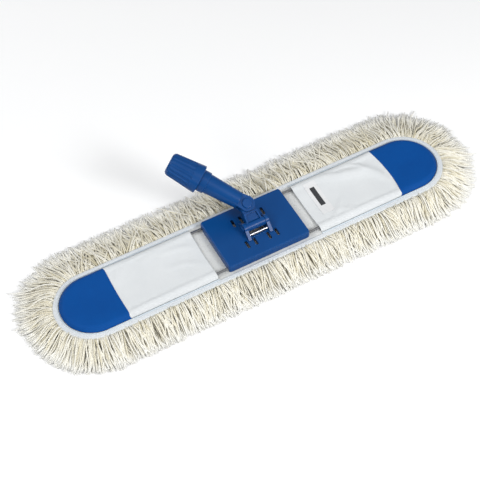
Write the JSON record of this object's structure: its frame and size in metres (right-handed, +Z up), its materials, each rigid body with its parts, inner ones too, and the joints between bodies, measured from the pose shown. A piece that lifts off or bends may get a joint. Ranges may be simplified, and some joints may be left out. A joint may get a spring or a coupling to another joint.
{
  "type": "dust mop",
  "caption": "Flat cotton-yarn pocket mop on a folding wire frame, with a blue centre plate and a swivelling pole socket with a lock nut.",
  "frame": {"origin": "on the flat sole of the cotton pile, under the middle of the centre plate", "axes": "+X along the mop, +Y towards the side that the pole socket leans to, +Z up from the floor"},
  "size_m": [0.7244, 0.2268, 0.1222],
  "materials": {
    "cotton_yarn": "matte",
    "white_canvas": "matte",
    "binding_tape": "matte",
    "blue_canvas": "matte",
    "label_cloth": "satin",
    "chrome_wire": "polished",
    "steel_bar": "satin",
    "blue_plastic": "satin"
  },
  "bodies": {
    "base": {"centre_plate": "blue_plastic", "tilt_pin": "blue_plastic", "tilt_pin_cap": "blue_plastic", "cross_bar": "steel_bar", "pile_centre": "cotton_yarn", "backing_centre": "white_canvas", "fringe_front_centre": "cotton_yarn", "fringe_rear_centre": "cotton_yarn", "binding_front_centre": "binding_tape", "binding_rear_centre": "binding_tape"},
    "left_wing": {"left_wire_loop": "chrome_wire", "left_pile": "cotton_yarn", "left_backing": "white_canvas", "left_binding": "binding_tape", "left_fringe_front": "cotton_yarn", "left_fringe_rear": "cotton_yarn", "left_fringe_end": "cotton_yarn", "left_pocket": "white_canvas", "left_pocket_end": "blue_canvas"},
    "right_wing": {"right_wire_loop": "chrome_wire", "right_pile": "cotton_yarn", "right_backing": "white_canvas", "right_binding": "binding_tape", "right_fringe_front": "cotton_yarn", "right_fringe_rear": "cotton_yarn", "right_fringe_end": "cotton_yarn", "right_pocket": "white_canvas", "right_pocket_end": "blue_canvas", "right_label": "label_cloth"},
    "yoke": {"yoke": "blue_plastic"},
    "socket": {"handle_socket": "blue_plastic", "swing_pin": "blue_plastic", "swing_pin_cap": "blue_plastic"},
    "nut": {"lock_nut": "blue_plastic"},
    "collet": {"collet_sleeve": "blue_plastic"}
  },
  "joints": [
    {"name": "left_fold", "type": "hinge", "parent": "base", "child": "left_wing", "pos_m": [-0.0175, 0, 0.025], "axis": [0, -1, 0], "range_deg": [0, 75], "deforming": ["pile_centre", "backing_centre", "fringe_front_centre", "fringe_rear_centre", "binding_front_centre", "binding_rear_centre"]},
    {"name": "right_fold", "type": "hinge", "parent": "base", "child": "right_wing", "pos_m": [0.0175, 0, 0.025], "axis": [0, 1, 0], "range_deg": [0, 75], "deforming": ["pile_centre", "backing_centre", "fringe_front_centre", "fringe_rear_centre", "binding_front_centre", "binding_rear_centre"]},
    {"name": "yoke_tilt", "type": "hinge", "parent": "base", "child": "yoke", "pos_m": [0, -0.002, 0.043], "axis": [1, 0, 0], "range_deg": [-12, 132]},
    {"name": "socket_swing", "type": "hinge", "parent": "yoke", "child": "socket", "pos_m": [0, 0.02519, 0.0587], "axis": [0, -0.5, 0.866], "range_deg": [-128, 52]},
    {"name": "nut_turn", "type": "hinge", "parent": "socket", "child": "nut", "pos_m": [0, 0.02519, 0.0587], "axis": [-0.6157, 0.6824, 0.394], "range_deg": [0, 360]},
    {"name": "collet_travel", "type": "slide", "parent": "socket", "child": "collet", "axis": [0.6157, -0.6824, -0.394], "range_m": [0, 0.003]}
  ],
  "couplings": [
    {"joint": "collet_travel", "follows": "nut_turn", "m_per_rad": 0.000477}
  ]
}
